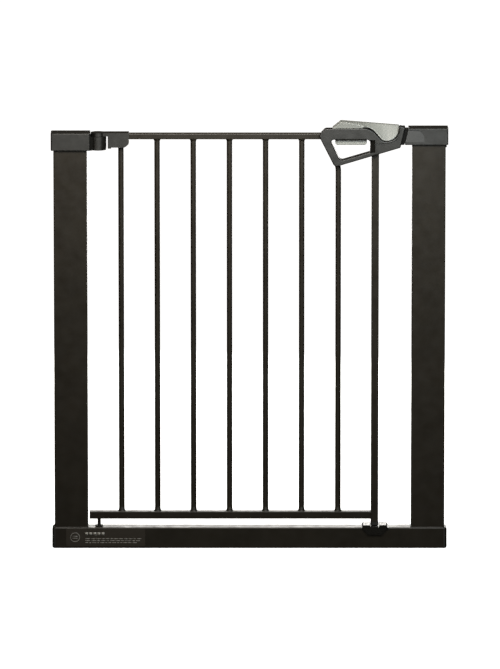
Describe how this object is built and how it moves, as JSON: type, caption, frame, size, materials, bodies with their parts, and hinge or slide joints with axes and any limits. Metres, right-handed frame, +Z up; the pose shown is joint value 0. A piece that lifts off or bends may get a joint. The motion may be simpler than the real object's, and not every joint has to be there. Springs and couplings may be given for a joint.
{
  "type": "safety baby gate",
  "caption": "Pressure-fit child safety gate: steel U-frame with a barred door that lifts and swings, and a squeeze handle with a thumb lever and latch bolt.",
  "frame": {"origin": "on the floor under the middle of the frame, in the middle plane of its depth", "axes": "+Z up, +X from the hinge side to the latch side, -Y towards the front that the picture shows"},
  "size_m": [0.71, 0.036, 0.7773],
  "materials": {
    "powder_coat": "satin black powder coat",
    "black_plastic": "fine-textured moulded black",
    "bolt_plastic": "smooth black acetal",
    "grey_plastic": "moulded light warm grey",
    "zinc_steel": "zinc plated",
    "dark_steel": "blackened",
    "label_film": "printed dark film, no lettering"
  },
  "bodies": {
    "frame": {"left_upright": "powder_coat", "right_upright": "powder_coat", "bottom_rail": "powder_coat", "left_rail_end_cap": "black_plastic", "right_rail_end_cap": "black_plastic", "left_top_spindle_nut": "zinc_steel", "right_top_spindle_nut": "zinc_steel", "left_bottom_spindle_nut": "zinc_steel", "right_bottom_spindle_nut": "zinc_steel", "hinge_cap": "black_plastic", "latch_cap": "black_plastic", "latch_keeper": "dark_steel", "cap_screws": "dark_steel", "upper_hinge_bush": "black_plastic", "lower_hinge_bush": "black_plastic", "bottom_catch": "black_plastic", "catch_screws": "dark_steel", "rail_label": "label_film"},
    "hinge_pins": {"upper_hinge_pin": "dark_steel", "lower_hinge_pin": "dark_steel"},
    "door": {"door_top_rail": "powder_coat", "door_bottom_rail": "powder_coat", "rail_end_plug": "black_plastic", "bar_1": "powder_coat", "bar_2": "powder_coat", "bar_3": "powder_coat", "bar_4": "powder_coat", "bar_5": "powder_coat", "bar_6": "powder_coat", "bent_bar": "powder_coat", "latch_post": "powder_coat", "post_foot": "black_plastic", "hinge_clip": "black_plastic", "clip_screws": "dark_steel", "handle_front_shell": "black_plastic", "handle_rear_shell": "black_plastic", "handle_screws": "dark_steel", "lever_pivot_pin": "zinc_steel", "trigger_springs": "zinc_steel", "lever_spring": "zinc_steel", "bolt_spring": "zinc_steel"},
    "lever": {"thumb_lever": "grey_plastic"},
    "trigger": {"squeeze_trigger": "grey_plastic", "cam_pin": "zinc_steel"},
    "bolt": {"latch_bolt": "bolt_plastic"}
  },
  "joints": [
    {"name": "gate_lift", "type": "slide", "parent": "frame", "child": "hinge_pins", "axis": [0, 0, 1], "range_m": [0, 0.008]},
    {"name": "gate_swing", "type": "hinge", "parent": "hinge_pins", "child": "door", "pos_m": [-0.2707, 0, 0.4], "axis": [0, 0, 1], "range_deg": [-90, 90]},
    {"name": "thumb_press", "type": "hinge", "parent": "door", "child": "lever", "pos_m": [0.243, 0, 0.755], "axis": [0, -1, 0], "range_deg": [0, 2], "stiffness_Nm_per_rad": 8, "springref_deg": -1.72, "deforming": ["lever_spring"]},
    {"name": "trigger_squeeze", "type": "slide", "parent": "door", "child": "trigger", "axis": [0, 0, 1], "range_m": [0, 0.004], "stiffness_N_per_m": 900, "springref_m": -0.003, "deforming": ["trigger_springs"]},
    {"name": "bolt_draw", "type": "slide", "parent": "door", "child": "bolt", "axis": [-1, 0, 0], "range_m": [0, 0.006], "stiffness_N_per_m": 200, "springref_m": -0.004, "deforming": ["bolt_spring"]}
  ],
  "couplings": [
    {"joint": "bolt_draw", "follows": "trigger_squeeze", "ratio": 1.5}
  ]
}
